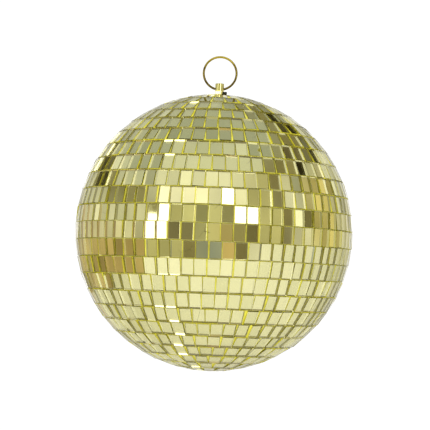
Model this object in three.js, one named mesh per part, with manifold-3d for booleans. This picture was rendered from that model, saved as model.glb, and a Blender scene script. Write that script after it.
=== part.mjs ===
// A mirror ball: rows of small gold glass tiles on a hollow plastic core, hung from a wire ring
// that passes through a turned post. Millimetres, +Z up. The origin is the hang point, the inside
// of the top of the ring, and the ball hangs straight below it. The front faces -Y.
import * as THREE from 'three';
import { mergeVertices } from 'three/addons/utils/BufferGeometryUtils.js';
import Module from 'manifold-3d';

const wasm = await Module();
wasm.setup();

// ---- Driving dimensions ----
const gap = 0.3; // between pieces that touch on the real object

const ballDiameter = 200; // over the faces of the tiles
const tileThickness = 2.2; // the glass with its backing tape
const rowPitch = 12.1; // from one row of tiles to the next, along the ball
const rowGap = 0.6; // between the tiles of one row and the next
const topOpeningDiameter = 17.2; // inside the highest row
const clusterDiameter = 28; // the least that the cut tiles at the bottom cover
const columnPitch = 8.7; // from one tile to the next along a row

const shellThickness = 2.5;
const lipHeight = 6; // of the lower shell's lip inside the upper one
const lipThickness = 1.4;
const bossDiameter = 20;
const bossDepth = 6; // of the upper shell's boss, below its wall

const ringOuterDiameter = 25.5;
const ringWireDiameter = 1.6;

const postDiameter = 6.4;
const postHoleDiameter = 2.6; // the cross hole that the ring passes through
const holeAboveBall = 4.45; // from the top of the ball to the cross hole's axis
const headAboveHole = 4.15; // from the cross hole's axis to the top of the post
const flatsWidth = 4.6; // across the spanner flats
const flatsHeight = 2.4;
const flatsTurn = THREE.MathUtils.degToRad(-22); // about +Z, from facing the front
const footDiameter = 7.6;
const footHeight = 1.3;
const discDiameter = 12.4;
const discThickness = 2;

const rodDiameter = 3; // M3
const rodInPost = 3.2;
const rodPastNut = 1.6;
const lockScrewDiameter = 2.2;
const lockScrewReach = 5.6; // from the post's axis to the screw's outer end

const washerDiameter = 16;
const washerThickness = 1.5;
const springWasherDiameter = 6.2;
const springWasherThickness = 1;
const nutAcrossFlats = 5.5; // M3 nut with a nylon insert
const nutHeight = 4;

// ---- Sizes and places that follow from them ----
const ballRadius = ballDiameter / 2;
const rowAngle = rowPitch / ballRadius;
const topEdge = Math.acos(topOpeningDiameter / ballDiameter); // latitude of the highest row's top
const lowestEdge = -Math.acos(clusterDiameter / ballDiameter); // the last whole row ends above this
const rowCount = Math.floor((topEdge - lowestEdge) / rowAngle);
const bottomEdge = topEdge - rowCount * rowAngle;

const innerTileRadius = ballRadius - tileThickness;
// A flat tile's back comes nearer the centre at its middle than at its corners.
const coreRadius = innerTileRadius * Math.cos(rowAngle / 2) ** 3 - gap;
const coreInnerRadius = coreRadius - shellThickness;

const discRadius = discDiameter / 2;
const rodHoleRadius = rodDiameter / 2 + gap;
const seatRadius = discRadius + 2 * gap;
const seatZ = Math.sqrt(coreRadius ** 2 - seatRadius ** 2); // the flat that the disc lies on
const discBottom = seatZ + gap;
const footBottom = discBottom + discThickness + gap;
const footTop = footBottom + footHeight;
const flatsTop = footTop + flatsHeight;
const rodTop = footBottom + rodInPost;

const holeZ = ballRadius + holeAboveBall;
const postTop = holeZ + headAboveHole;
const lockScrewZ = (footTop + flatsTop) / 2 - gap;

const bossBottom = coreInnerRadius - bossDepth;
const washerTop = bossBottom - gap;
const springWasherTop = washerTop - washerThickness - gap;
const nutTop = springWasherTop - springWasherThickness - gap;
const rodBottom = nutTop - nutHeight - rodPastNut;

const wireRadius = ringWireDiameter / 2;
const ringRadius = ringOuterDiameter / 2 - wireRadius; // to the middle of the wire
// The wire curves inside the straight hole, so the hole's axis is put halfway up its rise.
const wireRise = ringRadius - Math.sqrt(ringRadius ** 2 - (postDiameter / 2) ** 2);
const ringCentreZ = -(ringRadius - wireRadius);
const pivotZ = ringCentreZ - ringRadius + wireRise / 2;

// ---- Materials ----
const metal = (color, roughness) => new THREE.MeshStandardMaterial({ color, roughness, metalness: 1 });
const goldMirror = 0xddd9a2;
const goldPlate = 0xc8b65a;
const zincPlate = 0xb9bcc0;
const plastic = new THREE.MeshStandardMaterial({ color: 0xb8a52e, roughness: 0.6, metalness: 0 });

// ---- Geometry helpers ----

// A closed profile of [radius, height] points, anticlockwise with the radius to the right, turned about +Z.
function turned(profile, segments) {
  const points = profile.map(([radius, height]) => new THREE.Vector2(radius, height));
  return new THREE.LatheGeometry(points, segments).rotateX(Math.PI / 2);
}

// The profile of a plain ring or cylinder: inner radius, outer radius, bottom and top.
function section(inner, outer, bottom, top) {
  if (inner === 0) return [[0, bottom], [outer, bottom], [outer, top], [0, top]];
  return [[inner, bottom], [outer, bottom], [outer, top], [inner, top], [inner, bottom]];
}

// Points on an arc about the ball's centre, from one latitude to another.
function arc(radius, from, to, steps) {
  return Array.from({ length: steps + 1 }, (_, i) => {
    const latitude = from + ((to - from) * i) / steps;
    return [radius * Math.cos(latitude), radius * Math.sin(latitude)];
  });
}

function solidOf(geometry) {
  const bare = geometry.clone();
  bare.deleteAttribute('normal');
  bare.deleteAttribute('uv');
  const merged = mergeVertices(bare, 1e-4);
  return new wasm.Manifold(new wasm.Mesh({
    numProp: 3,
    vertProperties: new Float32Array(merged.attributes.position.array),
    triVerts: new Uint32Array(merged.index.array),
  }));
}

function geometryOf(solid) {
  const mesh = solid.getMesh();
  const geometry = new THREE.BufferGeometry();
  geometry.setAttribute('position', new THREE.BufferAttribute(mesh.vertProperties, 3));
  geometry.setIndex(new THREE.BufferAttribute(mesh.triVerts, 1));
  return geometry;
}

function cut(geometry, ...tools) {
  return geometryOf(tools.reduce((solid, tool) => solid.subtract(solidOf(tool)), solidOf(geometry)));
}

// ---- The assembly ----
const mirrorBall = new THREE.Group();
const ball = new THREE.Group(); // everything that swings on the ring, about the ball's own centre
ball.position.z = pivotZ - holeZ;
mirrorBall.add(ball);

function piece(group, name, geometry, material) {
  const mesh = new THREE.Mesh(geometry, material);
  mesh.name = name;
  group.add(mesh);
}

// The ring of bent wire, standing across the front.
const ringGeometry = new THREE.TorusGeometry(ringRadius, wireRadius, 8, 40);
ringGeometry.rotateX(Math.PI / 2).translate(0, 0, ringCentreZ);
piece(mirrorBall, 'hanging_ring', ringGeometry, metal(goldPlate, 0.15));

// The post: a turned bar with a foot, a cross hole for the ring, two spanner flats, a bore from
// below for the rod, and a radial hole for the lock screw.
function hangerPost() {
  const radius = postDiameter / 2;
  const edge = 0.3; // the chamfer round the top
  const bar = turned([
    [0, footBottom],
    [footDiameter / 2, footBottom],
    [footDiameter / 2, footTop],
    [radius, footTop],
    [radius, postTop - edge],
    [radius - edge, postTop],
    [0, postTop],
  ], 32);
  const past = 2 * footDiameter;
  const holeRadius = postHoleDiameter / 2;
  const crossHole = new THREE.CylinderGeometry(holeRadius, holeRadius, past, 24);
  crossHole.rotateZ(Math.PI / 2).translate(0, 0, holeZ);
  const flats = [1, -1].map((side) => {
    const block = new THREE.BoxGeometry(past, past, flatsHeight);
    block.translate(0, side * (flatsWidth + past) / 2, (footTop + flatsTop) / 2);
    return block.rotateZ(flatsTurn);
  });
  const bore = turned(section(0, rodHoleRadius, footBottom - past, rodTop + gap), 20);
  const screwHole = lockScrew(lockScrewDiameter / 2 + gap / 2, 0, past);
  return cut(bar, crossHole, ...flats, bore, screwHole);
}

// A cylinder from one distance to another along the lock screw's axis, which lies along the flats.
function lockScrew(radius, from, to) {
  const cylinder = new THREE.CylinderGeometry(radius, radius, to - from, 18);
  cylinder.rotateZ(Math.PI / 2).translate((from + to) / 2, 0, lockScrewZ);
  return cylinder.rotateZ(flatsTurn);
}

const screwSocket = lockScrew(lockScrewDiameter / 4, lockScrewReach - 1, lockScrewReach + 1);
const screwBody = lockScrew(lockScrewDiameter / 2, rodDiameter / 2 + gap, lockScrewReach);
piece(ball, 'hanger_post', hangerPost(), metal(goldPlate, 0.12));
piece(ball, 'post_lock_screw', cut(screwBody, screwSocket), metal(0x1c1d1a, 0.45));
piece(ball, 'top_disc', turned(
  section(rodHoleRadius, discRadius, discBottom, discBottom + discThickness), 40,
), metal(goldPlate, 0.2));

// The rod that the post is screwed to, with what clamps it to the core from inside.
piece(ball, 'threaded_rod', turned(
  section(0, rodDiameter / 2, rodBottom, rodTop), 20,
), metal(zincPlate, 0.35));
piece(ball, 'load_washer', turned(
  section(rodHoleRadius, washerDiameter / 2, washerTop - washerThickness, washerTop), 32,
), metal(zincPlate, 0.3));
const springWasherBottom = springWasherTop - springWasherThickness;
piece(ball, 'spring_washer', turned(
  section(rodHoleRadius, springWasherDiameter / 2, springWasherBottom, springWasherTop), 24,
), metal(zincPlate, 0.35));
piece(ball, 'lock_nut', cut(
  turned(section(0, nutAcrossFlats / 2 / Math.cos(Math.PI / 6), nutTop - nutHeight, nutTop), 6),
  turned(section(0, rodHoleRadius, nutTop - 2 * nutHeight, nutTop + nutHeight), 20),
), metal(zincPlate, 0.3));

// The core: two moulded half shells. The upper one has the boss that carries the rod, and its rim
// is straight inside, where the lower one's lip stands in it.
const shellSides = 36;
const arcSteps = 6;
const rimZ = gap / 2;
const rimLatitude = Math.asin(rimZ / coreRadius);
const straightLatitude = Math.asin(lipHeight / coreInnerRadius);
const straightRadius = coreInnerRadius * Math.cos(straightLatitude);
const bossRadius = bossDiameter / 2;
piece(ball, 'core_upper_shell', turned([
  ...arc(coreRadius, rimLatitude, Math.acos(seatRadius / coreRadius), arcSteps),
  [rodHoleRadius, seatZ],
  [rodHoleRadius, bossBottom],
  [bossRadius, bossBottom],
  ...arc(coreInnerRadius, Math.acos(bossRadius / coreInnerRadius), straightLatitude, arcSteps),
  [straightRadius, rimZ],
  [coreRadius * Math.cos(rimLatitude), rimZ],
], shellSides), plastic);

const lipRadius = straightRadius - gap;
const lipTop = lipHeight - gap;
const lipInnerRadius = lipRadius - lipThickness;
piece(ball, 'core_lower_shell', turned([
  ...arc(coreRadius, -Math.PI / 2, -rimLatitude, arcSteps),
  [lipRadius, -rimZ],
  [lipRadius, lipTop],
  [lipInnerRadius, lipTop],
  ...arc(coreInnerRadius, -Math.acos(lipInnerRadius / coreInnerRadius), -Math.PI / 2, arcSteps),
], shellSides), plastic);

// The rows of tiles. Each row is one strip of tiles on its tape, wound once round the core, with a
// facet for each tile. Rows near the poles hold fewer tiles.
function tileCount(top, bottom) {
  const [poleward, other] = Math.abs(top) > Math.abs(bottom) ? [top, bottom] : [bottom, top];
  return Math.round((2 * Math.PI * ballRadius * Math.cos((2 * poleward + other) / 3)) / columnPitch);
}

const halfGap = rowGap / 2 / ballRadius; // as an angle, on each side of a joint between rows
const seamTurn = 2.4; // radians from one strip's seam to the next, so that no two seams line up
for (let row = 0; row < rowCount; row += 1) {
  const top = topEdge - row * rowAngle - halfGap;
  const bottom = topEdge - (row + 1) * rowAngle + halfGap;
  const outside = arc(ballRadius, bottom, top, 1);
  const inside = arc(innerTileRadius, top, bottom, 1);
  const strip = turned([...outside, ...inside, outside[0]], tileCount(top, bottom)).rotateZ(row * seamTurn);
  piece(ball, `tile_strip_${String(row + 1).padStart(2, '0')}`, strip, metal(goldMirror, 0.08));
}

// The cluster of cut tiles that closes the bottom.
const clusterEdge = bottomEdge - halfGap;
const clusterSides = 14;
piece(ball, 'bottom_tile_cluster', turned([
  ...arc(ballRadius, -Math.PI / 2, clusterEdge, 1),
  ...arc(innerTileRadius, clusterEdge, -Math.PI / 2, 1),
], clusterSides), metal(goldMirror, 0.08));

export default mirrorBall;
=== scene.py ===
import math
import random

import bmesh
import bpy
from mathutils import Matrix, Vector


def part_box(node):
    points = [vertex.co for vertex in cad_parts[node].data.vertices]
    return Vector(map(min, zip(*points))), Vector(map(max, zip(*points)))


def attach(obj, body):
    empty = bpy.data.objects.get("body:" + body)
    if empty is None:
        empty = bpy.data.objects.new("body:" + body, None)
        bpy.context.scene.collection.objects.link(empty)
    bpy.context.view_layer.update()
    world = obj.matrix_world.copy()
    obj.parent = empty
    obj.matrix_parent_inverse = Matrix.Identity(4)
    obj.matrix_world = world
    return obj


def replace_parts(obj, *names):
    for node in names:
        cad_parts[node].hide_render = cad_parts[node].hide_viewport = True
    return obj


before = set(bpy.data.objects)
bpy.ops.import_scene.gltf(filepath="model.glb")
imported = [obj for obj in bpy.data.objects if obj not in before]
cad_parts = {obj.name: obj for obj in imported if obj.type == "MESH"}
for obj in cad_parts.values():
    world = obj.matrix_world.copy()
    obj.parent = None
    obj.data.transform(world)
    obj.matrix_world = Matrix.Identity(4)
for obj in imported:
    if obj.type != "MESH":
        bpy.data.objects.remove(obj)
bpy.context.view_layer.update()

scene = bpy.context.scene


# ---- The core's two half shells ----
# A hollow ball moulded in two halves from yellow plastic. The lower half has a lip that stands
# inside the upper one, and the upper half has a ribbed boss that the hanger is bolted to.
mm = 0.001
crease = math.radians(20)  # faces that meet at less are shaded as one curved face
merge_within = 0.001 * mm
split_gap = 0.15 * mm  # from the ball's centre to each shell's rim
shell_wall = 2.5 * mm
lip_height = 5.7 * mm
lip_wall = 1.4 * mm
lip_room = 0.3 * mm  # between the lip and the upper shell
lip_chamfer = 0.4 * mm
rim_chamfer = 0.5 * mm
straight_wall = 6 * mm  # how high over the ball's centre the upper shell is straight inside
shell_arc_steps = 40
shell_turn_steps = 96
upper_low, upper_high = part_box("core_upper_shell")
centre = Vector((0, 0, upper_low.z - split_gap))
core_radius = upper_high.x
core_inside = core_radius - shell_wall
boss_radius, boss_depth = 10 * mm, 6 * mm
boss_chamfer = 0.6 * mm
rod_hole = 1.8 * mm
hole_chamfer = 0.3 * mm
seat_height = upper_high.z - centre.z
boss_low = core_inside - boss_depth


def new_material(name):
    """A material with its node tree and its Principled shader."""
    material = bpy.data.materials.new(name)
    material.use_nodes = True
    tree = material.node_tree
    return material, tree, tree.nodes["Principled BSDF"]


def piece_from(bm, name, body, *materials, smooth=True):
    """The finished mesh as an object that rides on a body."""
    mesh = bpy.data.meshes.new(name)
    bm.to_mesh(mesh)
    bm.free()
    if smooth:
        mesh.shade_smooth()
        mesh.set_sharp_from_angle(angle=crease)
    for material in materials:
        mesh.materials.append(material)
    piece = bpy.data.objects.new(name, mesh)
    scene.collection.objects.link(piece)
    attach(piece, body)
    return piece


def turned(outline, middle, steps):
    """A bmesh of a closed outline of radius and height, turned once about the ball's axis."""
    bm = bmesh.new()
    verts = [bm.verts.new(middle + Vector((r, 0, z))) for r, z in outline]
    edges = [bm.edges.new((verts[i - 1], verts[i])) for i in range(len(verts))]
    bmesh.ops.spin(
        bm, geom=verts + edges, cent=middle, axis=(0, 0, 1), angle=2 * math.pi,
        steps=steps, use_merge=True,
    )
    bmesh.ops.remove_doubles(bm, verts=bm.verts, dist=merge_within)
    bmesh.ops.dissolve_degenerate(bm, edges=bm.edges, dist=merge_within)
    loose = [e for e in bm.edges if not e.link_faces]
    bmesh.ops.delete(bm, geom=loose, context="EDGES")
    bmesh.ops.recalc_face_normals(bm, faces=bm.faces)
    return bm


def arc(radius, start, end, steps):
    """Points on an arc about the ball's centre, from one latitude to another."""
    latitudes = [start + (end - start) * i / steps for i in range(steps + 1)]
    return [(radius * math.cos(a), radius * math.sin(a)) for a in latitudes]


def feed(tree, socket, value):
    """Gives a socket a number, a colour or another node's output."""
    if isinstance(value, tuple):
        socket.default_value = (*value, 1)
    elif isinstance(value, (int, float)):
        socket.default_value = value
    else:
        tree.links.new(value, socket)


def math_node(tree, operation, *values):
    node = tree.nodes.new("ShaderNodeMath")
    node.operation = operation
    for socket, value in zip(node.inputs, values):
        feed(tree, socket, value)
    return node.outputs[0]


def mixed(tree, factor, first, second):
    """A Mix node between two colours, each a socket or a value."""
    node = tree.nodes.new("ShaderNodeMix")
    node.data_type = "RGBA"
    for name, value in (("Factor", factor), ("A", first), ("B", second)):
        feed(tree, node.inputs[name], value)
    return node.outputs["Result"]


def noise_of(tree, vector, scale, detail=3.0):
    node = tree.nodes.new("ShaderNodeTexNoise")
    for name, value in (("Vector", vector), ("Scale", scale), ("Detail", detail)):
        feed(tree, node.inputs[name], value)
    return node.outputs["Fac"]


def spread_out(tree, value, low, high, to_low=0.0, to_high=1.0):
    """A Map Range node, which spreads one range of values over another and stops at its ends."""
    node = tree.nodes.new("ShaderNodeMapRange")
    names = ("Value", "From Min", "From Max", "To Min", "To Max")
    for name, given in zip(names, (value, low, high, to_low, to_high)):
        feed(tree, node.inputs[name], given)
    return node.outputs["Result"]


def place_of(tree):
    """The outputs X, Y and Z of the place on the object."""
    split = tree.nodes.new("ShaderNodeSeparateXYZ")
    tree.links.new(tree.nodes.new("ShaderNodeTexCoord").outputs["Object"], split.inputs[0])
    return split.outputs


def new_group(name, inputs, outputs):
    """An empty node group with float sockets, its input node and its output node."""
    group = bpy.data.node_groups.new(name, "ShaderNodeTree")
    for in_out, names in (("INPUT", inputs), ("OUTPUT", outputs)):
        for socket in names:
            group.interface.new_socket(socket, in_out=in_out, socket_type="NodeSocketFloat")
    given = group.nodes.new("NodeGroupInput").outputs
    made = group.nodes.new("NodeGroupOutput").inputs
    return group, given, made


def placed_group(tree, group, **values):
    """A node group in a tree, with its inputs given by name. Returns its outputs."""
    node = tree.nodes.new("ShaderNodeGroup")
    node.node_tree = group
    for name, value in values.items():
        feed(tree, node.inputs[name.replace("_", " ")], value)
    return node.outputs


def bumped(tree, shader, height, distance, strength=1.0):
    """A Bump node on the shader, with its distance in metres."""
    bump = tree.nodes.new("ShaderNodeBump")
    bump.inputs["Distance"].default_value = distance
    bump.inputs["Strength"].default_value = strength
    tree.links.new(height, bump.inputs["Height"])
    tree.links.new(bump.outputs["Normal"], shader.inputs["Normal"])


# Handling: a cloudy mask, a roughness that follows it, and a fine grain.
handling, given, made = new_group("handling", ("Cloud Scale", "Grain Scale", "Low", "High"),
                                  ("Cloud", "Roughness", "Grain"))
at = handling.nodes.new("ShaderNodeTexCoord").outputs["Object"]
cloud = spread_out(handling, noise_of(handling, at, given["Cloud Scale"], 5.0), 0.35, 0.65)
handling.links.new(cloud, made["Cloud"])
handling.links.new(spread_out(handling, cloud, 0.0, 1.0, given["Low"], given["High"]), made["Roughness"])
handling.links.new(noise_of(handling, at, given["Grain Scale"], 2.0), made["Grain"])


def clouded(tree, shader, worn, first, second):
    """The shader's colour clouds from the first to the second, and its roughness goes with it."""
    tree.links.new(mixed(tree, worn["Cloud"], first, second), shader.inputs["Base Color"])
    tree.links.new(worn["Roughness"], shader.inputs["Roughness"])


core_plastic, tree, shader = new_material("core_plastic")
worn = placed_group(tree, handling, Cloud_Scale=60.0, Grain_Scale=2500.0, Low=0.42, High=0.6)
clouded(tree, shader, worn, (0.55, 0.44, 0.07), (0.66, 0.55, 0.12))
bumped(tree, shader, worn["Grain"], 0.02 * mm)

straight = math.asin(straight_wall / core_inside)
straight_radius = core_inside * math.cos(straight)
lip_radius = straight_radius - lip_room
lip_inside = lip_radius - lip_wall
seat_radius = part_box("top_disc")[1].x + 0.6 * mm  # the flat that the top disc lies on
rim = math.asin(split_gap / core_radius)

lip_foot = -math.acos(lip_inside / core_inside)
outline = arc(core_radius, -math.pi / 2, -rim, shell_arc_steps) + [
    (lip_radius, -split_gap),
    (lip_radius, lip_height - lip_chamfer),
    (lip_radius - lip_chamfer, lip_height),
    (lip_inside, lip_height),
] + arc(core_inside, lip_foot, -math.pi / 2, shell_arc_steps)
bm = turned(outline, centre, shell_turn_steps)
lower_shell = piece_from(bm, "lower_half_shell", "ball", core_plastic)
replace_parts(lower_shell, "core_lower_shell")

outline = arc(core_radius, rim, math.acos(seat_radius / core_radius), shell_arc_steps) + [
    (rod_hole + hole_chamfer, seat_height),
    (rod_hole, seat_height - hole_chamfer),
    (rod_hole, boss_low),
    (boss_radius - boss_chamfer, boss_low),
    (boss_radius, boss_low + boss_chamfer),
] + arc(core_inside, math.acos(boss_radius / core_inside), straight, shell_arc_steps) + [
    (straight_radius, split_gap + rim_chamfer),
    (straight_radius + rim_chamfer, split_gap),
]
bm = turned(outline, centre, shell_turn_steps)
upper_shell = piece_from(bm, "upper_half_shell", "ball", core_plastic)
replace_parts(upper_shell, "core_upper_shell")


# ---- What clamps the hanger from inside ----
# A broad stamped washer under the boss, a split spring washer and a lock nut with a nylon ring
# in its end. The washers and the nut are steel with bright zinc plating.
zinc_plate, tree, shader = new_material("zinc_plate")
shader.inputs["Metallic"].default_value = 1.0
worn = placed_group(tree, handling, Cloud_Scale=350.0, Grain_Scale=6000.0, Low=0.2, High=0.42)
clouded(tree, shader, worn, (0.66, 0.67, 0.70), (0.78, 0.77, 0.72))
bumped(tree, shader, worn["Grain"], 0.004 * mm)

on_axis = Vector((0, 0, 0))


def rounded_over(radius, top):
    """An outline's three points where a side is rounded over to its top."""
    return [(radius, top - 0.35 * mm), (radius - 0.12 * mm, top - 0.1 * mm), (radius - 0.4 * mm, top)]


low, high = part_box("load_washer")
burr = 0.1 * mm  # what tumbling takes off the punched edges
hole_burr = 0.15 * mm
outline = [
    (rod_hole + hole_burr, low.z),
    (high.x - burr, low.z),
    (high.x, low.z + burr),
] + rounded_over(high.x, high.z) + [
    (rod_hole + hole_chamfer, high.z),
    (rod_hole, high.z - hole_chamfer),
    (rod_hole, low.z + hole_burr),
]
washer = piece_from(turned(outline, on_axis, 72), "clamp_washer", "ball", zinc_plate)
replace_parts(washer, "load_washer")

low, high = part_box("spring_washer")
split_rise = 0.15 * mm  # from one end of the split to the other
split_turn = math.radians(346)
square_from = 1.2  # radians between two faces that meet squarely
bm = bmesh.new()
bmesh.ops.create_grid(bm, x_segments=1, y_segments=1, size=0.5)
for v in bm.verts:
    wide, tall = v.co.x + 0.5, v.co.y + 0.5
    v.co = Vector((rod_hole + wide * (high.x - rod_hole), 0,
                   low.z + tall * (high.z - low.z - split_rise)))
turn_steps = 54
bmesh.ops.spin(
    bm, geom=bm.verts[:] + bm.edges[:] + bm.faces[:], axis=(0, 0, 1), cent=(0, 0, 0),
    dvec=(0, 0, split_rise / turn_steps), angle=split_turn, steps=turn_steps,
)
bmesh.ops.recalc_face_normals(bm, faces=bm.faces)


def broken_edges(bm, sharp, offset, segments=2):
    """Takes the sharpness off some edges."""
    bmesh.ops.bevel(bm, geom=sharp, offset=offset, segments=segments, profile=0.5,
                    affect="EDGES", material=-1)


rim_edges = [e for e in bm.edges if len(e.link_faces) == 2 and e.calc_face_angle() > square_from]
broken_edges(bm, rim_edges, 0.08 * mm)
spring = piece_from(bm, "split_washer", "ball", zinc_plate)
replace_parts(spring, "spring_washer")

low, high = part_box("lock_nut")
nut_flat = high.x  # from the nut's axis to a flat
bore = 1.6 * mm
land_radius = 2.6 * mm  # of the flat ring that the chamfer of the corners leaves
corner_slope = math.tan(math.radians(30))  # of that chamfer
collar_height = 1.2 * mm
collar_radius, collar_mouth = 2.65 * mm, 2.2 * mm
collar_rounding, collar_lip = 0.3 * mm, 0.2 * mm
pocket_radius = 2.25 * mm  # the nylon ring's seat in the collar
sixth = 2 * math.pi / 6


def hexagon_reach(angle, flat):
    """How far a hexagon's outline is from its middle, with flats that face along X."""
    off = (angle + sixth / 2) % sixth - sixth / 2
    return flat / math.cos(off)


def loop_at(bm, radius, height, flat=None, slope=0):
    """A loop of 48 vertices, round or, if flat is given, six-sided. Its height rises by slope
    with how far a vertex is outside the radius. Returns its edges."""
    corners = bmesh.ops.create_circle(bm, segments=48, radius=1)["verts"]
    for v in corners:
        angle = math.atan2(v.co.y, v.co.x)
        far = hexagon_reach(angle, flat) if flat else radius
        v.co = Vector((far * math.cos(angle), far * math.sin(angle), height + slope * (far - radius)))
    return list(dict.fromkeys(e for v in corners for e in v.link_edges))


bm = bmesh.new()
shoulder = low.z + collar_height
loops = [
    loop_at(bm, collar_mouth, low.z),
    loop_at(bm, land_radius, low.z + collar_rounding),
    loop_at(bm, collar_radius, shoulder),
    loop_at(bm, land_radius, shoulder, nut_flat, corner_slope),
    loop_at(bm, land_radius, high.z, nut_flat, -corner_slope),
    loop_at(bm, land_radius, high.z),
    loop_at(bm, bore + hole_chamfer, high.z),
    loop_at(bm, bore, high.z - hole_chamfer),
    loop_at(bm, bore, shoulder),
    loop_at(bm, pocket_radius, shoulder),
    loop_at(bm, pocket_radius, low.z + collar_lip),
]
for first, second in zip(loops, loops[1:] + loops[:1]):
    bmesh.ops.bridge_loops(bm, edges=first + second)
bmesh.ops.recalc_face_normals(bm, faces=bm.faces)
nut = piece_from(bm, "lock_nut_body", "ball", zinc_plate)
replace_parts(nut, "lock_nut")

nylon, tree, shader = new_material("blue_nylon")
worn = placed_group(tree, handling, Cloud_Scale=300.0, Grain_Scale=3000.0, Low=0.35, High=0.5)
clouded(tree, shader, worn, (0.03, 0.11, 0.33), (0.05, 0.15, 0.40))
play = 0.05 * mm  # between the nylon ring and its pocket
nylon_bore = 1.54 * mm
nylon_low, nylon_high = low.z + collar_lip + 2 * play, shoulder - play
outline = [
    (nylon_bore, nylon_low),
    (pocket_radius - play, nylon_low),
    (pocket_radius - play, nylon_high),
    (nylon_bore, nylon_high),
]
insert = piece_from(turned(outline, on_axis, 48), "nut_nylon_ring", "ball", nylon)


# ---- The threaded rod ----
# A length of zinc-plated 3 mm rod with a rolled thread. It is screwed up into the post and ties
# it through the disc and the core to the nut.
thread_pitch = 0.5 * mm
thread_depth = 0.3 * mm
crest_start, crest_end = 0.4, 0.55  # as shares of the pitch
turn_steps = 20
low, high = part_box("threaded_rod")
crest, root = high.x, high.x - thread_depth
bm = bmesh.new()
levels = math.ceil((high.z - low.z) / thread_pitch) + 2
path = []
for i in range(levels):
    foot = low.z + (i - 1.5) * thread_pitch
    path += [
        (root, foot),
        (crest, foot + crest_start * thread_pitch),
        (crest, foot + crest_end * thread_pitch),
    ]
verts = [bm.verts.new((r, 0, z)) for r, z in path]
edges = [bm.edges.new(pair) for pair in zip(verts, verts[1:])]
bmesh.ops.spin(bm, geom=verts + edges, axis=(0, 0, 1), cent=(0, 0, 0), angle=2 * math.pi,
               dvec=(0, 0, thread_pitch / turn_steps), steps=turn_steps)
at_end = 0.01 * mm  # how close a vertex is to an end that it lies on
bmesh.ops.remove_doubles(bm, verts=bm.verts, dist=at_end)
for end, outward in ((low, -1), (high, 1)):
    everything = bm.verts[:] + bm.edges[:] + bm.faces[:]
    bmesh.ops.bisect_plane(bm, geom=everything, plane_co=(0, 0, end.z),
                           plane_no=(0, 0, outward), clear_outer=True)
    open_edges = [e for e in bm.edges if e.is_boundary and abs(e.verts[0].co.z - end.z) < at_end]
    bmesh.ops.holes_fill(bm, edges=open_edges)
bmesh.ops.dissolve_degenerate(bm, edges=bm.edges, dist=merge_within)
bmesh.ops.recalc_face_normals(bm, faces=bm.faces)
rod = piece_from(bm, "rod_with_thread", "ball", zinc_plate)
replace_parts(rod, "threaded_rod")


# ---- The top disc ----
# A turned and gold-plated disc that lies on the core in the middle of the top row and spreads
# the post's load. Its upper edge is rounded over.


def reach_of(tree, first, second):
    """How far out a place is, from two of its coordinates."""
    squares = [math_node(tree, "POWER", value, 2.0) for value in (first, second)]
    return math_node(tree, "SQRT", math_node(tree, "ADD", *squares))


# Turning marks: fine rings on the ends and the sides of a turned piece.
turning, given, made = new_group("turning_marks", ("Pitch",), ("Height",))
at = place_of(turning)
along = math_node(turning, "ADD", reach_of(turning, at["X"], at["Y"]), at["Z"])
ridges = turning.nodes.new("ShaderNodeTexNoise")
ridges.noise_dimensions = "1D"
ridges.inputs["Scale"].default_value = 1.0
turning.links.new(math_node(turning, "DIVIDE", along, given["Pitch"]), ridges.inputs["W"])
turning.links.new(ridges.outputs["Fac"], made["Height"])

gold_plate, tree, shader = new_material("turned_gold_plate")
shader.inputs["Metallic"].default_value = 1.0
worn = placed_group(tree, handling, Cloud_Scale=500.0, Grain_Scale=5000.0, Low=0.04, High=0.1)
marks = placed_group(tree, turning, Pitch=0.15 * mm)
clouded(tree, shader, worn, (0.66, 0.60, 0.22), (0.76, 0.71, 0.32))
bumped(tree, shader, marks["Height"], 0.002 * mm)

low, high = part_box("top_disc")
rounding = 0.5 * mm
lower_chamfer = 0.2 * mm
fillet = [(high.x - rounding + r, high.z - rounding + z) for r, z in arc(rounding, 0, math.pi / 2, 6)]
outline = [
    (rod_hole, low.z),
    (high.x - lower_chamfer, low.z),
    (high.x, low.z + lower_chamfer),
] + fillet + [
    (rod_hole + hole_chamfer, high.z),
    (rod_hole, high.z - hole_chamfer),
]
disc = piece_from(turned(outline, on_axis, 96), "turned_disc", "ball", gold_plate)
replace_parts(disc, "top_disc")


# ---- The tile strips ----
# Each strip is a row of small squares of clear glass with a gold mirror on their backs, on a tape
# that is wound once round the core, so that its ends meet in a wider gap. Yellow adhesive wells up
# between the tiles and wets some of their sides.
tile_width = 8.0 * mm
glass_thickness = 2.0 * mm
least_gap = 0.3 * mm
arris = 0.1 * mm  # the edge that the glass cutter's wheel leaves
seam = 0.8 * mm  # more than the other gaps
top_seam = 3.2 * mm  # the top strip runs short, and its open seam faces the front
top_seam_at = math.radians(-10)
wetted = 0.5  # the share of the tiles' sides that the adhesive has crept up
bead_fill = (0.45, 0.75)  # how much of a gap's depth is filled, at the least and the most
drift = 0.15 * mm  # how far a strip wanders up or down from its middle to its end
tilts = [math.radians(a) for a in (1.0, 1.1, 0.8)]  # of a tile, as standard deviations
unevenness = 0.015  # of the spacing, as a share of it
tape_under = 0.25 * mm  # from a tile's back down to the tape
tape_thickness = 0.25 * mm
tape_proud = 0.2 * mm  # how far the tape reaches past the tiles, above and below
joint_width = 0.16 * mm  # of the raised edge that fills the joint to the next row
joint_depth = 0.5 * mm  # from the tiles' faces down to that edge
shaky = random.Random(8)

# The glass is clear, with faint smears from wiping.
glass, tree, shader = new_material("tile_glass")
shader.inputs["Base Color"].default_value = (0.97, 0.97, 0.84, 1)
shader.inputs["IOR"].default_value = 1.5
shader.inputs["Transmission Weight"].default_value = 1.0
worn = placed_group(tree, handling, Cloud_Scale=130.0, Grain_Scale=900.0, Low=0.0, High=0.035)
tree.links.new(worn["Roughness"], shader.inputs["Roughness"])

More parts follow.
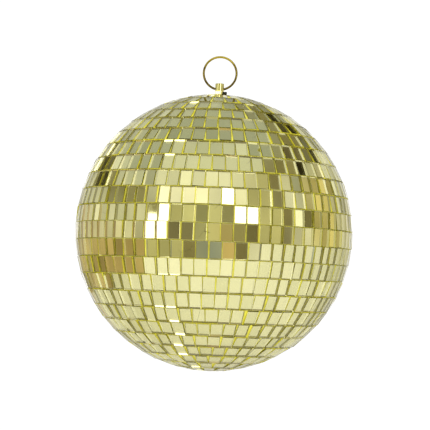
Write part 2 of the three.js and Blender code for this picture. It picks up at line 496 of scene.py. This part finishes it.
# The mirror coat is a little uneven from tile to tile, with rare hairline scratches in it.
mirror, tree, shader = new_material("gold_mirror")
shader.inputs["Metallic"].default_value = 1.0
worn = placed_group(tree, handling, Cloud_Scale=90.0, Grain_Scale=900.0, Low=0.015, High=0.05)
tone = tree.nodes.new("ShaderNodeAttribute")
tone.attribute_name = "tone"
coat = mixed(tree, tone.outputs["Fac"], (0.75, 0.72, 0.40), (0.86, 0.82, 0.49))
at = tree.nodes.new("ShaderNodeTexCoord").outputs["Object"]
crack = tree.nodes.new("ShaderNodeTexVoronoi")
crack.feature = "DISTANCE_TO_EDGE"
crack.inputs["Scale"].default_value = 40.0
tree.links.new(at, crack.inputs["Vector"])
hairline = spread_out(tree, crack.outputs["Distance"], 0.002, 0.004, 1.0, 0.0)
somewhere = spread_out(tree, noise_of(tree, at, 70.0, 1.0), 0.62, 0.66)
scratch = math_node(tree, "MULTIPLY", hairline, somewhere)
tree.links.new(mixed(tree, scratch, coat, (0.30, 0.27, 0.12)), shader.inputs["Base Color"])
tree.links.new(worn["Roughness"], shader.inputs["Roughness"])

# The adhesive is glossy where it is clean and duller where it has taken up dust.
adhesive, tree, shader = new_material("yellow_adhesive")
worn = placed_group(tree, handling, Cloud_Scale=220.0, Grain_Scale=1400.0, Low=0.3, High=0.6)
clouded(tree, shader, worn, (0.72, 0.66, 0.03), (0.90, 0.85, 0.09))
bumped(tree, shader, worn["Grain"], 0.15 * mm)


clear, mirrored, glued = range(3)  # a tile's materials, in the order that it is given them
tile_finishes = (glass, mirror, adhesive)


def row_of(node):
    """A strip's lowest and highest latitude, its outer radius and how many tiles it holds."""
    corners = [v.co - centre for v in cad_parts[node].data.vertices]
    radius = max(c.length for c in corners)
    outer = [c for c in corners if c.length > radius - 0.1 * glass_thickness]
    latitudes = [math.asin(c.z / c.length) for c in outer]
    columns = {round(math.atan2(c.y, c.x), 2) for c in outer}
    return min(latitudes), max(latitudes), radius, len(columns)


def add_tile(bm, latitude, longitude, radius, widths, height, turns):
    """One tile, as a block of glass with its back face mirrored. Returns its corners."""
    place = (
        Matrix.Translation(centre)
        @ Matrix.Rotation(longitude, 4, "Z")
        @ Matrix.Rotation(math.pi / 2 - latitude, 4, "X")
        @ Matrix.Translation((0, 0, radius))
        @ Matrix.Rotation(turns[0], 4, "X")
        @ Matrix.Rotation(turns[1], 4, "Y")
        @ Matrix.Rotation(turns[2], 4, "Z")
    )
    block = bmesh.ops.create_cube(bm, size=1)["verts"]
    signs = [tuple(c > 0 for c in v.co) for v in block]
    width_below, width_above = widths
    for v in block:
        v.co.x *= width_above if v.co.y > 0 else width_below
        v.co.y *= height
        v.co.z = (v.co.z - 0.5) * glass_thickness
    tone_layer = bm.faces.layers.float["tone"]
    its_tone = shaky.random()
    for face in dict.fromkeys(f for v in block for f in v.link_faces):
        face[tone_layer] = its_tone
        depth = -face.calc_center_median().z / glass_thickness
        if depth > 0.9:
            face.material_index = mirrored
        elif depth > 0.1 and shaky.random() < wetted:
            face.material_index = glued
    bmesh.ops.transform(bm, matrix=place, verts=block)
    return {sign: v.co.copy() for sign, v in zip(signs, block)}


def add_bead(bm, left, right):
    """The adhesive in the gap between two tiles, from their backs to a little under their faces."""
    fill = shaky.uniform(*bead_fill)
    clear_of_glass = 0.06  # as a share of the gap
    bead = bmesh.ops.create_cube(bm, size=1)["verts"]
    for v in bead:
        above, outward = v.co.y > 0, v.co.z > 0
        across = clear_of_glass if v.co.x < 0 else 1 - clear_of_glass
        back, front = (left[(True, above, face)].lerp(right[(False, above, face)], across)
                       for face in (False, True))
        v.co = back.lerp(front, fill if outward else 0.0)


def finish_tiles(bm, name):
    """The sharp edges of every block are taken off, but not those round its mirrored back."""
    sharp = [e for e in bm.edges if not any(f.material_index == mirrored for f in e.link_faces)]
    broken_edges(bm, sharp, arris, segments=1)
    largest_arris = 3 * mm ** 2
    for face in bm.faces:
        if face.calc_area() < largest_arris:
            face.material_index = clear
    piece = piece_from(bm, name, "ball", *tile_finishes, smooth=False)
    return piece


def beads_between(blocks, name):
    """A bead in each gap of a closed row of tiles, as one piece."""
    bm = bmesh.new()
    for left, right in zip(blocks, blocks[1:] + blocks[:1]):
        add_bead(bm, left, right)
    bmesh.ops.recalc_face_normals(bm, faces=bm.faces)
    piece = piece_from(bm, name, "ball", adhesive, smooth=False)


def tile_strip(node, opening, start):
    """One strip, with an opening where its ends meet, at the longitude start."""
    bottom, top, radius, count = row_of(node)
    middle, half = (bottom + top) / 2, (top - bottom) / 2
    height = 2 * radius * math.sin(half)
    around = [2 * math.pi * radius * math.cos(latitude) - opening for latitude in (bottom, top)]
    widths = [min(tile_width, length / count - least_gap) for length in around]
    seam_turn = opening / (radius * math.cos(middle))
    pitch = (2 * math.pi - seam_turn) / count
    start += (pitch + seam_turn) / 2
    tiles = bmesh.new()
    tiles.faces.layers.float.new("tone")
    blocks = []
    for i in range(count):
        longitude = start + pitch * (i + shaky.gauss(0, unevenness))
        turns = [shaky.gauss(0, tilt) for tilt in tilts]
        latitude = middle + 2 * drift / radius * (i / count - 0.5)
        blocks.append(
            add_tile(tiles, latitude, longitude, radius * math.cos(half), widths, height, turns))
    number = node.split("_")[-1]
    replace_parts(finish_tiles(tiles, "glass_tiles_" + number), node)
    beads_between(blocks, "adhesive_beads_" + number)

    # The tape lies under the tiles, and its lower edge carries the adhesive of the joint.
    outside = radius - glass_thickness - tape_under
    inside = outside - tape_thickness
    joint_face = radius - joint_depth
    above = top + tape_proud / radius
    foot = bottom - tape_proud / radius
    below = foot - joint_width / radius
    outline = [
        (inside, below), (joint_face, below), (joint_face, foot), (outside, foot),
        (outside, middle), (outside, above), (inside, above), (inside, middle),
    ]
    outline = [(r * math.cos(a), r * math.sin(a)) for r, a in outline]
    piece = piece_from(turned(outline, centre, 2 * count), "strip_tape_" + number, "ball", adhesive)


strips = sorted(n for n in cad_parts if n.startswith("tile_strip"))
tile_strip(strips[0], top_seam, top_seam_at)
for node in strips[1:]:
    tile_strip(node, seam, shaky.uniform(0, 2 * math.pi))


# ---- The bottom cluster ----
# The last strip leaves a round opening at the bottom, which the maker closes by hand: a ring of
# tiles nipped to wedges round one square tile, all on a round patch of the same tape.
wedge_count = 11
wedge_gap = 0.6 * mm
wedge_tilt = math.radians(1.0)
square_side = 7.4 * mm
square_reach = 1.3 * square_side / 2  # the wedges keep clear of its corners
square_turn, square_tilt = 0.4, 0.01
square_sunk = 0.3 * mm
patch_under = 0.45 * mm  # from a tile's back down to the patch
patch_steps = 8
low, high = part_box("bottom_tile_cluster")
ball_radius = centre.z - low.z
patch_radius = high.y
outer_edge = math.acos(patch_radius / ball_radius)
inner_edge = math.acos((square_reach + wedge_gap) / ball_radius)
middle, half = -(outer_edge + inner_edge) / 2, (inner_edge - outer_edge) / 2
height = 2 * ball_radius * math.sin(half)
widths = [
    2 * ball_radius * math.cos(edge) * math.sin(math.pi / wedge_count) - wedge_gap
    for edge in (inner_edge, outer_edge)
]
face_radius = ball_radius * math.cos(half)
tiles = bmesh.new()
tiles.faces.layers.float.new("tone")
blocks = []
for i in range(wedge_count):
    turns = [shaky.gauss(0, wedge_tilt) for _ in range(3)]
    longitude = 2 * math.pi * i / wedge_count
    blocks.append(add_tile(tiles, middle, longitude, face_radius, widths, height, turns))
beads_between(blocks, "adhesive_beads_bottom")
face_radius = ball_radius - square_sunk
add_tile(tiles, -math.pi / 2, square_turn, face_radius, [square_side] * 2, square_side,
         (square_tilt, 0, 0))
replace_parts(finish_tiles(tiles, "cut_tiles"), "bottom_tile_cluster")
outside = ball_radius - glass_thickness - patch_under
patch = arc(outside, -math.pi / 2, -outer_edge, patch_steps)
patch += arc(outside - tape_thickness, -outer_edge, -math.pi / 2, patch_steps)
piece = piece_from(turned(patch, centre, 48), "bottom_patch", "ball", adhesive)


# ---- The post ----
# Turned from bar and gold plated: a round head with a cross hole for the ring, two spanner flats
# below it, and a foot. It is bored from below for the rod and from the side for the lock screw.
low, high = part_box("hanger_post")
post_radius = 3.2 * mm
foot_radius, foot_height = high.x, 1.3 * mm
foot_chamfer, foot_rounding = 0.15 * mm, 0.25 * mm
flats_height, flats_across = 2.4 * mm, 4.6 * mm
hole_radius = 1.3 * mm
hole_height = high.z - 4.15 * mm  # of the cross hole's middle
screw_hole = 1.25 * mm
weld_within = 0.002 * mm  # vertices that a cut leaves this close together are made one
broken_by = 0.07 * mm
cut_sharp_from = 0.9  # radians between two faces that a cut has left sharp
rod_hole_room = 0.3 * mm  # past the end of the rod
screw_low, screw_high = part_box("post_lock_screw")
screw_height = (screw_low.z + screw_high.z) / 2
flats_turn = math.atan2(screw_low.y + screw_high.y, screw_low.x + screw_high.x)
foot_top = low.z + foot_height
tool_nose = 0.1 * mm  # the corner that the turning tool leaves above the foot
outline = [
    (0, low.z),
    (foot_radius - foot_chamfer, low.z),
    (foot_radius, low.z + foot_chamfer),
    (foot_radius, foot_top - foot_rounding),
    (foot_radius - foot_rounding, foot_top),
    (post_radius + tool_nose, foot_top),
    (post_radius, foot_top + tool_nose),
] + rounded_over(post_radius, high.z) + [
    (0, high.z),
]
post = piece_from(turned(outline, on_axis, 96), "turned_post", "ball", gold_plate)
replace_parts(post, "hanger_post")


on_side = Matrix.Rotation(math.pi / 2, 4, "Y")  # turns +Z to +X


def round_bar(radius, length, place):
    """A bar along the local X, for boring a hole."""
    bm = bmesh.new()
    bmesh.ops.create_cone(bm, cap_ends=True, segments=48, radius1=radius, radius2=radius, depth=length)
    bmesh.ops.transform(bm, matrix=place @ on_side, verts=bm.verts)
    return bm


def cut_from(piece, *tools):
    """The piece with each tool's shape taken out of it and its sharp edges broken."""
    for bm in tools:
        mesh = bpy.data.meshes.new("tool")
        bm.to_mesh(mesh)
        bm.free()
        tool = bpy.data.objects.new("tool", mesh)
        scene.collection.objects.link(tool)
        cutting = piece.modifiers.new("cut", "BOOLEAN")
        cutting.object = tool
        cutting.solver = "EXACT"
        bpy.context.view_layer.update()
        cut = piece.evaluated_get(bpy.context.evaluated_depsgraph_get())
        shaped = bpy.data.meshes.new_from_object(cut)
        piece.modifiers.clear()
        piece.data = shaped
        bpy.data.objects.remove(tool)
    bm = bmesh.new()
    bm.from_mesh(piece.data)
    bmesh.ops.remove_doubles(bm, verts=bm.verts, dist=weld_within)
    sharp = [e for e in bm.edges if len(e.link_faces) == 2 and e.calc_face_angle() > cut_sharp_from]
    bmesh.ops.bevel(bm, geom=sharp, offset=broken_by, segments=2, profile=0.5, affect="EDGES",
                    clamp_overlap=True, material=-1)
    bm.to_mesh(piece.data)
    bm.free()
    piece.data.shade_smooth()
    piece.data.set_sharp_from_angle(angle=crease)


turn_flats = Matrix.Rotation(flats_turn, 4, "Z")
cutter = 12 * mm  # the side of a block that cuts a flat
flat_blocks = []
for side in (-1, 1):
    bm = bmesh.new()
    bmesh.ops.create_cube(bm, size=1)
    bmesh.ops.scale(bm, vec=(cutter, cutter, flats_height), verts=bm.verts)
    shift = Matrix.Translation((0, side * (flats_across + cutter) / 2, foot_top + flats_height / 2))
    bmesh.ops.transform(bm, matrix=turn_flats @ shift, verts=bm.verts)
    flat_blocks.append(bm)
bar = 10 * mm  # the length of a bar that cuts a blind hole
rod_hole_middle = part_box("threaded_rod")[1].z + rod_hole_room - bar / 2
cut_from(
    post,
    *flat_blocks,
    round_bar(hole_radius, 2 * bar, Matrix.Translation((0, 0, hole_height))),
    round_bar(rod_hole, bar, Matrix.Translation((0, 0, rod_hole_middle)) @ on_side),
    round_bar(screw_hole, bar, turn_flats @ Matrix.Translation((bar / 2, 0, screw_height))),
)


# ---- The lock screw ----
# A black grub screw that goes in from the side and bites on the rod, so that the post can't
# unscrew. Its outer end stands out of the post and has a hexagon socket.
black_oxide, tree, shader = new_material("black_oxide")
shader.inputs["Metallic"].default_value = 1.0
worn = placed_group(tree, handling, Cloud_Scale=900.0, Grain_Scale=9000.0, Low=0.3, High=0.5)
clouded(tree, shader, worn, (0.035, 0.036, 0.032), (0.075, 0.075, 0.062))
bumped(tree, shader, worn["Grain"], 0.01 * mm)

screw_radius = 1.1 * mm
screw_from, screw_to = 1.8 * mm, 5.6 * mm  # from the post's axis
screw_chamfer = 0.15 * mm
point_radius, point_depth = 0.6 * mm, 0.5 * mm
point_inner = 0.45 * mm
groove_count, groove_pitch, groove_depth = 7, 0.4 * mm, 0.18 * mm
first_groove = 0.6 * mm
socket_flat, socket_depth = 0.5 * mm, 1.0 * mm
rings = [
    (point_inner, screw_from),
    (point_radius, screw_from),
    (screw_radius, screw_from + point_depth),
]
for i in range(groove_count):
    start = screw_from + first_groove + i * groove_pitch
    rings += [
        (screw_radius, start),
        (screw_radius - groove_depth, start + groove_pitch / 4),
        (screw_radius - groove_depth, start + groove_pitch / 2),
        (screw_radius, start + groove_pitch * 3 / 4),
    ]
rings += [(screw_radius, screw_to - screw_chamfer), (screw_radius - screw_chamfer, screw_to)]
bm = bmesh.new()
loops = [loop_at(bm, radius, height) for radius, height in rings]
loops += [
    loop_at(bm, socket_flat, height, flat=socket_flat)
    for height in (screw_to, screw_to - socket_depth)
]
for first, second in zip(loops, loops[1:]):
    bmesh.ops.bridge_loops(bm, edges=first + second)
bmesh.ops.holes_fill(bm, edges=[e for e in bm.edges if e.is_boundary])
bmesh.ops.recalc_face_normals(bm, faces=bm.faces)
bmesh.ops.transform(bm, matrix=Matrix.Translation((0, 0, screw_height)) @ turn_flats @ on_side,
                    verts=bm.verts)
screw = piece_from(bm, "grub_screw", "ball", black_oxide)
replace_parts(screw, "post_lock_screw")


# ---- The ring ----
# Round wire bent to a ring, with its ends butted together, then gold plated and polished. It has
# faint lines from the drawing of the wire. Its colour is painted dark lower down and bright at the
# top: a painted dark reflection on its sides and a painted highlight on its top.
low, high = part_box("hanging_ring")
wire_radius = high.y
ring_radius = high.x - wire_radius
ring_centre = Vector((0, 0, high.z - wire_radius - ring_radius))
wire_sides, ring_steps = 28, 180
joint_at = math.radians(205)  # round from +X, where the wire's ends meet
joint_gap, joint_rounding = 0.06 * mm, 0.06 * mm
joint_turn = joint_gap / ring_radius
# Below the first height the ring's colour is painted dark, above the second it is a painted highlight.
painted_dark_below, painted_bright_above = ring_centre.z + 4 * mm, ring_centre.z + 13 * mm

bright_plate, tree, shader = new_material("polished_gold_plate")
shader.inputs["Metallic"].default_value = 1.0
worn = placed_group(tree, handling, Cloud_Scale=260.0, Grain_Scale=4000.0, Low=0.02, High=0.07)
# A dark colour, clouded at random, is painted on the ring's sides and lower part as a painted reflection
# of the dark room; the ramp up the ring to bright gold is a painted highlight on its top.
painted_dark_sides = mixed(tree, worn["Cloud"], (0.14, 0.10, 0.015), (0.27, 0.205, 0.035))
at = place_of(tree)
uneven = math_node(tree, "MULTIPLY_ADD", worn["Cloud"], 3 * mm, at["Z"])
painted_top_highlight = spread_out(tree, uneven, painted_dark_below, painted_bright_above)
tree.links.new(mixed(tree, painted_top_highlight, painted_dark_sides, (0.70, 0.55, 0.08)), shader.inputs["Base Color"])
tree.links.new(worn["Roughness"], shader.inputs["Roughness"])
above_centre = math_node(tree, "SUBTRACT", at["Z"], ring_centre.z)
across = tree.nodes.new("ShaderNodeCombineXYZ")
tree.links.new(reach_of(tree, at["X"], above_centre), across.inputs["X"])
tree.links.new(at["Y"], across.inputs["Y"])
bumped(tree, shader, noise_of(tree, across.outputs[0], 9000.0, 2.0), 0.0006 * mm)

bm = bmesh.new()
bmesh.ops.create_circle(bm, cap_ends=True, segments=wire_sides, radius=wire_radius)
bmesh.ops.translate(bm, vec=ring_centre + Vector((ring_radius, 0, 0)), verts=bm.verts)
bmesh.ops.rotate(bm, cent=ring_centre, verts=bm.verts,
                 matrix=Matrix.Rotation(-joint_at - joint_turn / 2, 3, "Y"))
bmesh.ops.spin(bm, geom=bm.verts[:] + bm.edges[:] + bm.faces[:], cent=ring_centre, axis=(0, -1, 0),
               angle=2 * math.pi - joint_turn, steps=ring_steps)
bmesh.ops.recalc_face_normals(bm, faces=bm.faces)
ends = [e for e in bm.edges if any(len(f.verts) == wire_sides for f in e.link_faces)]
broken_edges(bm, ends, joint_rounding)
ring = piece_from(bm, "wire_ring", "ring", bright_plate)
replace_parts(ring, "hanging_ring")


# ---- The table, the camera and the light ----
# The ball hangs over a white table in a plain white studio, and its mirrors show the rest of the
# room: softboxes left and right, pale walls and ceiling, and dark and brown things to the sides.
table_drop = 0.45  # from the ball's middle
table_sides = ((-0.85, -1.15), (3.5, 5.0))  # its near left and far right corners

bm = bmesh.new()
bmesh.ops.create_grid(bm, x_segments=1, y_segments=1, size=0.5)
for v in bm.verts:
    v.co.x = table_sides[v.co.x > 0][0]
    v.co.y = table_sides[v.co.y > 0][1]
    v.co.z = centre.z - table_drop
table_mesh = bpy.data.meshes.new("white_table")
bm.to_mesh(table_mesh)
bm.free()
table_top = bpy.data.objects.new("white_table", table_mesh)
scene.collection.objects.link(table_top)
table_top.visible_camera = False
laminate, tree, shader = new_material("white_laminate")
shader.inputs["Roughness"].default_value = 0.6
# The laminate's colour is painted darker and yellower towards the left and the back, as painted shade
# where the light falls off.
at = place_of(tree)
toward = math_node(tree, "SUBTRACT", math_node(tree, "MULTIPLY", at["X"], 0.45), at["Y"])
painted_falloff = spread_out(tree, toward, -0.35, 0.35)
tree.links.new(mixed(tree, painted_falloff, (0.77, 0.76, 0.68), (0.92, 0.92, 0.91)), shader.inputs["Base Color"])
table_mesh.materials.append(laminate)

# A long lens about a metre away, a little under the ball's middle and looking up at it. The ball
# fills two thirds of the frame's width and hangs a touch off plumb.
camera_distance = 1.039
camera_below = math.radians(1.9)
lens, sensor_width = 119.9, 36
aim = Vector((0.3 * mm, 0, 12.8 * mm))  # from the ball's middle
lean = math.radians(2.26)

camera = bpy.data.objects.new("camera", bpy.data.cameras.new("camera"))
scene.collection.objects.link(camera)
scene.camera = camera
camera.data.lens, camera.data.sensor_width = lens, sensor_width
away = Vector((0, -math.cos(camera_below), -math.sin(camera_below)))
camera.location = centre + camera_distance * away
look = centre + aim - camera.location
camera.rotation_mode = "QUATERNION"
camera.rotation_quaternion = (
    look.to_track_quat("-Z", "Y").to_matrix() @ Matrix.Rotation(lean, 3, "Z")
).to_quaternion()


lamp_distance = 2.0
lamp_radiance = 3.0


def softbox(name, azimuth, elevation, spread):
    """A rectangular lamp that faces the ball, as many degrees wide and high as spread says."""
    lamp = bpy.data.lights.new(name, "AREA")
    lamp.shape = "RECTANGLE"
    lamp.size, lamp.size_y = (2 * lamp_distance * math.tan(math.radians(s / 2)) for s in spread)
    lamp.energy = lamp_radiance * math.pi * lamp.size * lamp.size_y
    holder = bpy.data.objects.new(name, lamp)
    a, e = math.radians(azimuth), math.radians(elevation)
    back = Vector((math.sin(a) * math.cos(e), -math.cos(a) * math.cos(e), math.sin(e)))
    holder.location = centre + lamp_distance * back
    holder.rotation_mode = "QUATERNION"
    holder.rotation_quaternion = back.to_track_quat("Z", "Y")
    scene.collection.objects.link(holder)
    holder.visible_camera = False


softbox("left_softbox", -43.5, 0, (21, 18))
softbox("left_softbox_top", -41.5, 11.5, (9, 6))
softbox("right_softbox", 23, 13, (22, 15))
softbox("right_softbox_top", 17, 26, (9, 11))

# A card in azimuth and elevation with soft edges, as a mask.
card, given, made = new_group(
    "card", ("Azimuth", "Elevation", "Left", "Right", "Bottom", "Top", "Edge"), ("Mask",))
masks = []
for where, start, end in (("Azimuth", "Left", "Right"), ("Elevation", "Bottom", "Top")):
    past_start = math_node(card, "SUBTRACT", given[where], given[start])
    before_end = math_node(card, "SUBTRACT", given[end], given[where])
    inside = math_node(card, "MINIMUM", past_start, before_end)
    outside = math_node(card, "MULTIPLY", given["Edge"], -1.0)
    masks.append(spread_out(card, inside, outside, given["Edge"]))
card.links.new(math_node(card, "MULTIPLY", *masks), made["Mask"])

world = bpy.data.worlds.new("studio")
scene.world = world
world.use_nodes = True
tree = world.node_tree
at = tree.nodes.new("ShaderNodeTexCoord").outputs["Generated"]
direction = tree.nodes.new("ShaderNodeSeparateXYZ")
tree.links.new(at, direction.inputs[0])
forward = math_node(tree, "MULTIPLY", direction.outputs["Y"], -1.0)
azimuth = math_node(tree, "DEGREES", math_node(tree, "ARCTAN2", direction.outputs["X"], forward))
elevation = math_node(tree, "DEGREES", math_node(tree, "ARCSINE", direction.outputs["Z"]))

ceiling, pale_wall, glow = (0.47, 0.50, 0.49), (0.82, 0.82, 0.76), (1.12, 1.1, 1.06)
olive, dark_olive, brown = (0.52, 0.49, 0.30), (0.24, 0.21, 0.12), (0.56, 0.43, 0.22)
blue_grey, black, white_wall = (0.36, 0.39, 0.42), (0.035, 0.03, 0.015), (1.15, 1.15, 1.15)
cards = (  # left, right, bottom, top and edge in degrees, and the colour
    (-75, 62, 46, 72, 9, (0.78, 0.80, 0.77)),
    (-200, -128, 30, 62, 8, (0.62, 0.64, 0.62)),
    (-200, 200, -90, 12, 6, (0.80, 0.78, 0.70)),
    (-200, 200, 12, 31, 6, pale_wall),
    (-66, 54, 34, 49, 6, (1.04, 1.04, 1.0)),
    (-60, 40, 20, 36, 3, glow),
    (-170, -58, -42, -2, 5, (0.56, 0.48, 0.30)),
    (-124, -58, -28, -6, 4, brown),
    (-146, -68, 17, 28, 2, (0.26, 0.24, 0.15)),
    (-137, -120, 18, 28, 2, (0.10, 0.09, 0.05)),
    (-60, 62, -40, 20, 2, olive),
    (-28, 8, 7, 20, 2, (0.58, 0.56, 0.36)),
    (-31, -14, -7, 8, 2, (0.22, 0.20, 0.13)),
    (-13, -2, -6, 8, 2, (0.56, 0.54, 0.36)),
    (0, 10, -6, 8, 2, (0.50, 0.38, 0.19)),
    (12, 44, -7, 6, 3, (0.30, 0.27, 0.15)),
    (-28, -9, -22, -7, 3, dark_olive),
    (-7, 4, -22, -7, 2, blue_grey),
    (5, 20, -22, -4, 2, brown),
    (20, 32, -22, -5, 2, dark_olive),
    (34, 60, 4, 44, 3, (0.52, 0.49, 0.31)),
    (58, 67, -6, 52, 2, dark_olive),
    (67, 79, 7, 42, 2, (0.95, 0.95, 0.92)),
    (80, 92, 5, 32, 2, dark_olive),
    (92, 124, -6, 32, 4, (0.66, 0.57, 0.28)),
    (64, 172, 36, 56, 4, (0.29, 0.26, 0.14)),
    (91, 105, 35, 46, 2, black),
    (123, 138, 29, 39, 2, black),
    (139, 161, 35, 46, 2, black),
    (106, 122, 42, 48, 2, (0.12, 0.1, 0.06)),
    (38, 200, -40, -5, 3, (0.84, 0.85, 0.84)),
    (34, 62, -34, -8, 2, glow),
    (158, 205, -14, 14, 6, white_wall),
    (-205, -158, -14, 14, 6, white_wall),
)
room = ceiling
for left, right, bottom, top, edge, colour in cards:
    mask = placed_group(tree, card, Azimuth=azimuth, Elevation=elevation, Left=left, Right=right,
                        Bottom=bottom, Top=top, Edge=edge)
    room = mixed(tree, mask["Mask"], room, colour)

# Clutter breaks up the middle of the room, and the ceiling only a little.
clutter = spread_out(tree, noise_of(tree, at, 7.0, 2.0), 0.36, 0.64, 0.62, 1.38)
calm = spread_out(tree, math_node(tree, "ABSOLUTE", elevation), 25.0, 45.0, 0.0, 0.7)
shade = tree.nodes.new("ShaderNodeVectorMath")
shade.operation = "SCALE"
tree.links.new(room, shade.inputs[0])
tree.links.new(clutter, shade.inputs["Scale"])
room = mixed(tree, calm, shade.outputs[0], room)

# The camera sees a plain white studio, and matt surfaces are lit by it.
path = tree.nodes.new("ShaderNodeLightPath").outputs
plain = math_node(tree, "MAXIMUM", path["Is Camera Ray"], path["Is Diffuse Ray"])
studio = mixed(tree, plain, room, (1.06, 1.06, 1.06))
tree.links.new(studio, tree.nodes["Background"].inputs["Color"])
scene.view_settings.view_transform = "Standard"
